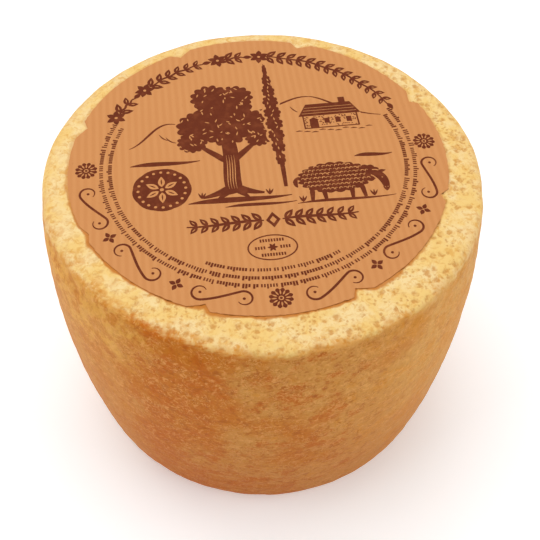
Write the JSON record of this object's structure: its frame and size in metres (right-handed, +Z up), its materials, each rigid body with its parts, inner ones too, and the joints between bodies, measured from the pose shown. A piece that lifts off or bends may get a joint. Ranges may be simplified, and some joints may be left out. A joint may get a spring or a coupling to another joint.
{
  "type": "cheese wheel",
  "caption": "Tall drum-shaped wheel of pressed cheese with a pitted ochre rind, a rounded foot and a round printed kraft-paper label on its top face.",
  "frame": {"origin": "centre of the foot, on the surface that the wheel stands on", "axes": "+Z up along the wheel's axis, out of the labelled face; -Y is the front, towards the reader of the label; +X is the reader's right"},
  "size_m": [0.1586, 0.1586, 0.1153],
  "materials": {
    "rind": "natural pressed-cheese rind: mottled cream, ochre and brown, pitted on top, fibrous on the side",
    "label_paper": "ribbed brown kraft paper, uncoated",
    "label_ink": "matt red-brown printing ink on the label"
  },
  "bodies": {
    "root": {"cheese_wheel": "rind", "paper_label": "label_paper"}
  },
  "joints": []
}
